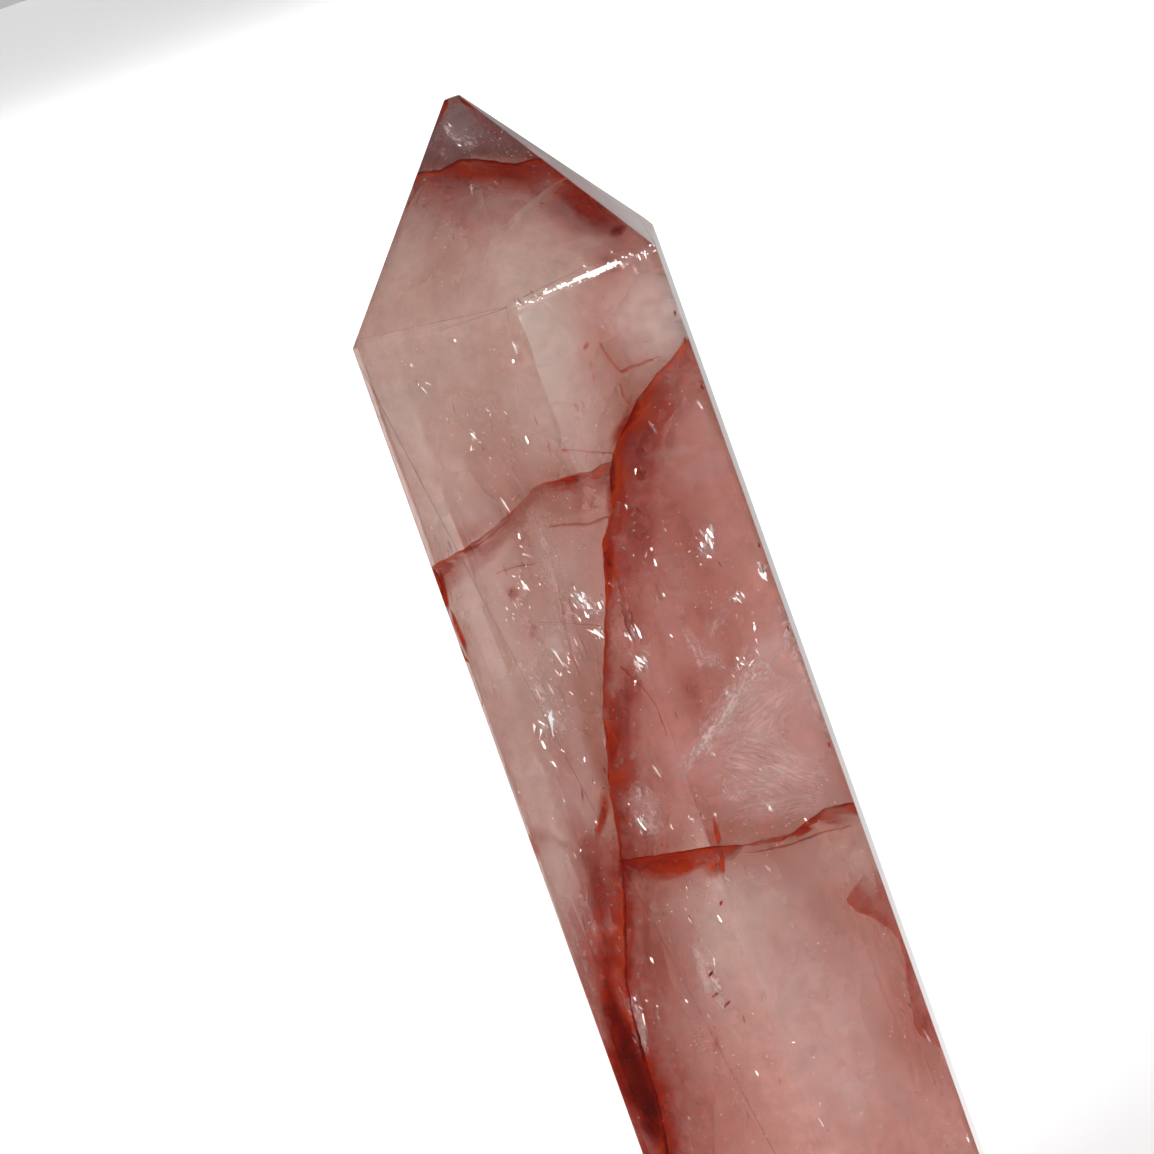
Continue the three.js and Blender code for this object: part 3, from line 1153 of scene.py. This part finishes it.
def add_cloud_layer(body, depth, strength, rims):
    """A layer of cloud that follows the stone's faces at a depth."""
    top = cad_box[1][2] / MM
    count = round((top - 2 * depth) / CLOUD_STEP)
    rows = []
    for i in range(count + 1):
        at = Vector((0, 0, (depth + (top - CLOUD_ENDS * depth) * i / count) * MM))
        row = []
        for k in range(CLOUD_SPOKES + 1):
            turn = math.tau * k / CLOUD_SPOKES
            away = level_way(turn)
            rim = at + away * reach_inside(at, away, depth * MM)
            ease = min(1.0, (rim - at).length / (CLOUD_EASE * MM))
            swell = uneven(rim, CLOUD_WAVES, (depth, 0, 0)) * ease
            gap = rims.find(rim)[2] / MM - depth
            clear = min(1.0, max(0.0, gap / CLEARING)) ** CLEARING_CURVE
            thick = strength * clear * (1 + EDGE_DENSITY * nearness_to_edge(rim))
            row.append((rim - away * (swell * depth * MM), (turn, i), thick))
        rows.append(row)
    add_sheet(body, rows)


def add_veil(body, centre, facing, radius, strength, rng):
    """An uneven round veil."""
    facing = facing.normalized()
    side = facing.orthogonal().normalized()
    other = facing.cross(side)
    phase = rng.uniform(0, 100)

    def place_of(x, y):
        ragged = 1 + VEIL_RAGGED * noise.noise(Vector((x * VEIL_LOBES, y * VEIL_LOBES, phase)))
        at = centre + (side * x + other * y) * (radius * ragged)
        return at + facing * (uneven(at, VEIL_WAVES, (0, phase, 0)) * radius)

    add_disc(body, place_of, strength)


def make_veils():
    rng = random.Random(11)
    body = bmesh.new()
    rims = rims_of_films()
    for depth, strength in CLOUD:
        add_cloud_layer(body, depth, strength, rims)
    for count in range(VEILS):
        outward = level_way(count * GOLDEN_TURN)
        centre = outward * (rng.uniform(*VEIL_OUT) * MM)
        centre.z = (VEIL_START + VEIL_RISE * (count + 0.5) / VEILS) * MM
        facing = outward + random_vector(rng) * VEIL_TILT
        add_veil(body, centre, facing, rng.uniform(*VEIL_RADIUS) * MM, rng.uniform(*VEIL_STRENGTH), rng)
    for height in BASE_VEILS:
        centre = Vector((0, 0, height * MM))
        add_veil(body, centre, Vector((0, 0, 1)), BASE_RADIUS * MM, BASE_STRENGTH, rng)
    add_inclusion("milky_veils", body, veil_material())


# Feathers, flecks and dust. Lengths are in millimetres

FEATHER_STEP = 5  # between rows, in pixels
FEATHER_SIDES = 4  # columns on each side of the middle
FEATHER_RAGGED = 0.3
FEATHER_BEND = 0.25  # how much deeper its one side lies than its middle
FEATHER_PATTERN = 28  # how many pixels of it one step of its pattern takes

GLINT_SPREAD = 0.6  # how far glints are strewn, to the half sizes of their place
GLINT_WOBBLE = 0.17
GLINT_DEPTH = (0.3, 2.0)
GLINT_SLANT = (58, 28)  # how their length lies in the photograph, in degrees, and how much that varies
GLINT_SIZES = 0.55  # how much their size varies

ROUND_FLECKS = 900
FLECK_HEIGHT = (3, 92)
FLECK_WOBBLE = 0.3
FLECK_DEPTH = (0.4, 3)
FLECK_SIZE = (0.04, 0.12)
FLECK_CORNERS = (3, 6)
FLECK_LEAST_LENGTH = 1.2  # to its width
FLECK_COLOURS = [
    (0.0, (0.98, 0.86, 0.78)),
    (0.45, (0.97, 0.96, 0.95)),
    (0.6, (0.90, 0.97, 0.97)),
    (1.0, (0.97, 0.90, 0.97)),
]

PALE_DUST = 5000
RUST_DUST = 1000
DUST_HEIGHT = (1, 96)
DUST_DEPTH = (0.15, 3.5)
DUST_DRIFTS = [(0.22, 1.0)]


def pale_cloud_material(name, thinnest, darkest):
    """Soft white cloud with wisps across it. The smaller thinnest is, the clearer it is between them."""
    material = new_material(name)
    spot = stretched(material, pattern(material), (1.0, 3.5, 1))
    wisps = clouds(material, 1.0, spot, detail=4, roughness=0.7, distortion=1.6)
    wispy = remap(material, wisps, 0.36, 0.64, thinnest, 1.0, smooth=True)
    banks = remap(material, clouds(material, 2.6), 0.35, 0.6, 0.7, 1.1)
    shown = maths(material, "MULTIPLY", wispy, banks)
    colour = mixed(material, wisps, darkest, (0.99, 0.93, 0.90))
    return finish_layer(material, colour, product(material, shown, strength_of(material)))


def feather_material():
    """White feather: fine streaks that fan along it, over a little haze."""
    material = new_material("white_feather")
    spot = stretched(material, pattern(material), (0.5, 2.4, 1))
    streaks = clouds(material, 1.0, spot, detail=4, roughness=0.7, distortion=0.6)
    specks = clouds(material, 0.35, detail=2)
    shown = maths(material, "ADD", streaks, remap(material, specks, *NOISE_SPAN, -0.12, 0.12))
    shown = remap(material, shown, 0.40, 0.64, 0.15, 1.0, smooth=True)
    colour = mixed(material, streaks, (0.96, 0.84, 0.80), (0.99, 0.96, 0.95))
    return finish_layer(material, colour, product(material, shown, strength_of(material)))


def fleck_material():
    """Bright face of a tiny fracture, with a breath of rainbow."""
    material = new_material("bright_fleck")
    colour = ramp(material, clouds(material, 0.7, detail=1), FLECK_COLOURS)
    return principled(material, {"Base Color": colour, "Metallic": 1.0, "Roughness": 0.22})


def dust_material(name, colour):
    material = new_material(name)
    shade = remap(material, clouds(material, 1.5), *NOISE_SPAN, 0.75, 1.0)
    return finish_layer(material, (*colour, 1), shade)


def surface_place(rng, heights):
    """A random place on the stone's surface between two heights, and the normal of the face there."""
    return meet_from_side(math.radians(rng.uniform(0, 360)), rng.uniform(*heights) * MM)


def add_fleck(body, at, normal, along, size, rng, longest=7.0):
    """A small flat splinter with three to six corners, longest in the direction along."""
    normal = normal.normalized()
    side = (along - normal * along.dot(normal)).normalized()
    other = normal.cross(side)
    count = rng.randint(*FLECK_CORNERS)
    long = rng.uniform(FLECK_LEAST_LENGTH, longest)
    spots = []
    for k in range(count):
        turn = math.tau * (k + rng.uniform(-0.25, 0.25)) / count
        reach = size * rng.uniform(0.6, 1.1)
        corner = at + side * (reach * long * math.cos(turn)) + other * (reach * math.sin(turn))
        spots.append((corner, (0, 0), 1.0))
    add_faces(body, spots, [tuple(range(count))])


def make_dust(name, count, sizes, colour, seed):
    """Tiny specks strewn in drifts just inside the stone. Sizes are the least and the most."""
    rng = random.Random(seed)
    body = bmesh.new()
    while count > 0:
        point, face = surface_place(rng, DUST_HEIGHT)
        at = point - face * (rng.uniform(*DUST_DEPTH) * MM)
        if uneven(at, DUST_DRIFTS, (seed, 0, 0)) > rng.gauss(0.05, 0.15):
            along = random_vector(rng)
            add_fleck(body, at, face + along * 0.3, along, rng.uniform(*sizes) * MM, rng, longest=2.0)
            count -= 1
    add_inclusion(name, body, dust_material(name, colour))


def add_feather(body, line, half_widths, depths, strength):
    """A feathery sheet along a line of pixels."""
    along, rows = 0.0, []
    pixels = even_steps(line, FEATHER_STEP)
    for i, (x, y) in enumerate(pixels):
        share = i / (len(pixels) - 1)
        (bx, by), (ax, ay) = pixels[max(i - 1, 0)], pixels[min(i + 1, len(pixels) - 1)]
        length = math.hypot(ax - bx, ay - by)
        side = ((ay - by) / length, (bx - ax) / length)
        half = half_widths[0] + (half_widths[1] - half_widths[0]) * share
        depth = depths[0] + (depths[1] - depths[0]) * share
        row = []
        for k in range(-FEATHER_SIDES, FEATHER_SIDES + 1):
            out = k / FEATHER_SIDES
            ragged = 1 + FEATHER_RAGGED * noise.noise(Vector((x * 0.1, y * 0.1, out)))
            spread = half * out * ragged
            at = seen_at((x + side[0] * spread, y + side[1] * spread), (depth + FEATHER_BEND * out) * MM)
            fade = (1 - out * out) * min(1.0, 5 * share + 0.2, 5 * (1 - share) + 0.2)
            row.append((at, (along, half * out * 2 / FEATHER_PATTERN), strength * fade))
        rows.append(row)
        along += length / FEATHER_PATTERN
    add_sheet(body, rows)


def shining_normal(pixel):
    """How a fleck seen at a pixel lies if it shines: it mirrors a softbox to the camera."""
    direction = sight_line(pixel)
    face = meet_stone(EYE, direction)[1]
    lamp = max((KEY_SIDE, FILL_SIDE), key=face.dot)
    return -bend(-lamp, face) - bend(direction, face)


def make_feathers():
    body = bmesh.new()
    for feather in FEATHERS:
        add_feather(body, *feather)
    add_inclusion("white_feathers", body, feather_material())
    make_patches("pale_clouds", PALE_CLOUDS, pale_cloud_material("pale_cloud", 0.5, (0.97, 0.79, 0.73)))
    make_patches("pale_hazes", PALE_HAZES, pale_cloud_material("pale_haze", 0.95, (0.98, 0.91, 0.86)))


def make_flecks():
    """Flecks that shine at their places in the photograph, others all round the stone, and dust."""
    rng = random.Random(5)
    body = bmesh.new()
    for x, y, wide, high, count, size in GLINTS:
        for _ in range(count):
            pixel = (rng.gauss(x, wide * GLINT_SPREAD), rng.gauss(y, high * GLINT_SPREAD))
            wobble = random_vector(rng) * GLINT_WOBBLE
            normal = shining_normal(pixel).normalized() + wobble
            at = seen_at(pixel, rng.uniform(*GLINT_DEPTH) * MM)
            slant = math.radians(rng.gauss(*GLINT_SLANT))
            along = RIGHT * math.cos(slant) - UP * math.sin(slant)
            add_fleck(body, at, normal, along, size * math.exp(rng.gauss(0, GLINT_SIZES)) * MM, rng)
    for _ in range(ROUND_FLECKS):
        point, face = surface_place(rng, FLECK_HEIGHT)
        normal = face + random_vector(rng) * FLECK_WOBBLE + Vector((0, 0, 0.3))
        at = point - face * (rng.uniform(*FLECK_DEPTH) * MM)
        add_fleck(body, at, normal, Vector((0.3, 0, -1)), rng.uniform(*FLECK_SIZE) * MM, rng)
    add_inclusion("bright_flecks", body, fleck_material())
    make_dust("pale_dust", PALE_DUST, (0.03, 0.06), (0.98, 0.88, 0.83), 21)
    make_dust("rust_dust", RUST_DUST, (0.03, 0.07), (0.30, 0.07, 0.045), 22)


# The studio

FLOOR_REACH = 20.0  # metres
FLOOR_GAP = 0.05 * MM  # how far the floor lies below the stone
FLOOR_SHADES = (0.90, 0.92)
FLOOR_LAMP = (0, 1.6, 1.6)  # where the floor's softbox is, in metres
FLOOR_LAMP_SIZE = 2.0
FLOOR_LAMP_POWER = 42.0

# Where the room's light changes, as the upward or backward part of the direction looked in
WALL_FOOT = (-0.05, -0.03)
FLOOR_GLOW = (-0.25, 0.2)  # below the walls it is bright only behind the stone
CEILING = (0.35, 0.6)
BACK_WALL = (0.93, 0.985)  # straight behind the stone the walls are dimmer
BACK_WALL_LIGHT = 0.5
LEVEL_BACK = (0.9, 0.96)  # and dimmer again from the level up
LEVEL_FOOT = (-0.02, 0.02)
LEVEL_LIGHT = 0.6


def floor_material():
    material = new_material("pale_floor")
    shade = remap(material, clouds(material, 40), *NOISE_SPAN, *FLOOR_SHADES)
    colour = add_node(material, "CombineColor", {0: shade, 1: shade, 2: shade}).outputs[0]
    return principled(material, {"Base Color": colour, "Roughness": 0.8})


def make_floor():
    mesh = bpy.data.meshes.new("floor")
    side = FLOOR_REACH
    corners = [(-side, -side), (side, -side), (side, side), (-side, side)]
    mesh.from_pydata([(x, y, -FLOOR_GAP) for x, y in corners], [], [(0, 1, 2, 3)])
    mesh.materials.append(floor_material())
    floor = bpy.data.objects.new("floor", mesh)
    bpy.context.collection.objects.link(floor)
    floor.visible_glossy = False
    return floor


def glow_towards(world, way, direction, inner, outer, strength):
    """Light from round a direction, full within the inner angle and gone at the outer one, in degrees."""
    low, high = math.cos(math.radians(outer)), math.cos(math.radians(inner))
    return remap(world, dot(world, way, direction), low, high, 0, strength, smooth=True)


def make_world():
    """A room with bright walls and a dim ceiling, and a softbox on each side of the stone."""
    world = bpy.data.worlds.new("studio")
    bpy.context.scene.world = world
    world.use_nodes = True
    world.node_tree.nodes.clear()
    way = add_node(world, "TexCoord").outputs["Generated"]
    height, behind = axis(world, way, "Z"), axis(world, way, "Y")
    walls = maths(world, "MAXIMUM", remap(world, height, *WALL_FOOT), remap(world, behind, *FLOOR_GLOW))
    level = maths(world, "MULTIPLY", remap(world, behind, *LEVEL_BACK), remap(world, height, *LEVEL_FOOT))
    for dimming in (
        remap(world, height, *CEILING, WALL_LIGHT - ROOM_LIGHT, 0),
        remap(world, behind, *BACK_WALL, 1.0, BACK_WALL_LIGHT, smooth=True),
        remap(world, level, 0, 1, 1.0, LEVEL_LIGHT),
    ):
        walls = maths(world, "MULTIPLY", walls, dimming)
    strength = maths(world, "ADD", walls, ROOM_LIGHT)
    for direction, inner, outer, power in SOFTBOXES:
        strength = maths(world, "ADD", strength, glow_towards(world, way, direction, inner, outer, power))
    background = add_node(world, "Background", {"Color": (1, 1, 1, 1), "Strength": strength})
    add_node(world, "OutputWorld", {"Surface": background.outputs[0]})
    world.cycles.sampling_method = "NONE"


def light_floor(floor):
    """A softbox over the floor behind the stone, for the floor alone."""
    data = bpy.data.lights.new("floor_softbox", "AREA")
    data.size = FLOOR_LAMP_SIZE
    data.energy = FLOOR_LAMP_POWER
    lamp = bpy.data.objects.new("floor_softbox", data)
    lamp.location = FLOOR_LAMP
    bpy.context.collection.objects.link(lamp)
    lit = bpy.data.collections.new("lit_by_floor_softbox")
    lit.objects.link(floor)
    lamp.light_linking.receiver_collection = lit


def set_render():
    scene = bpy.context.scene
    scene.view_settings.view_transform = "Standard"
    scene.cycles.max_bounces = 16
    scene.cycles.diffuse_bounces = 4
    scene.cycles.transmission_bounces = 12
    scene.cycles.glossy_bounces = 6
    scene.cycles.transparent_max_bounces = 32


make_camera()
polished_body()
make_films()
make_veils()
make_feathers()
make_flecks()
light_floor(make_floor())
make_world()
set_render()
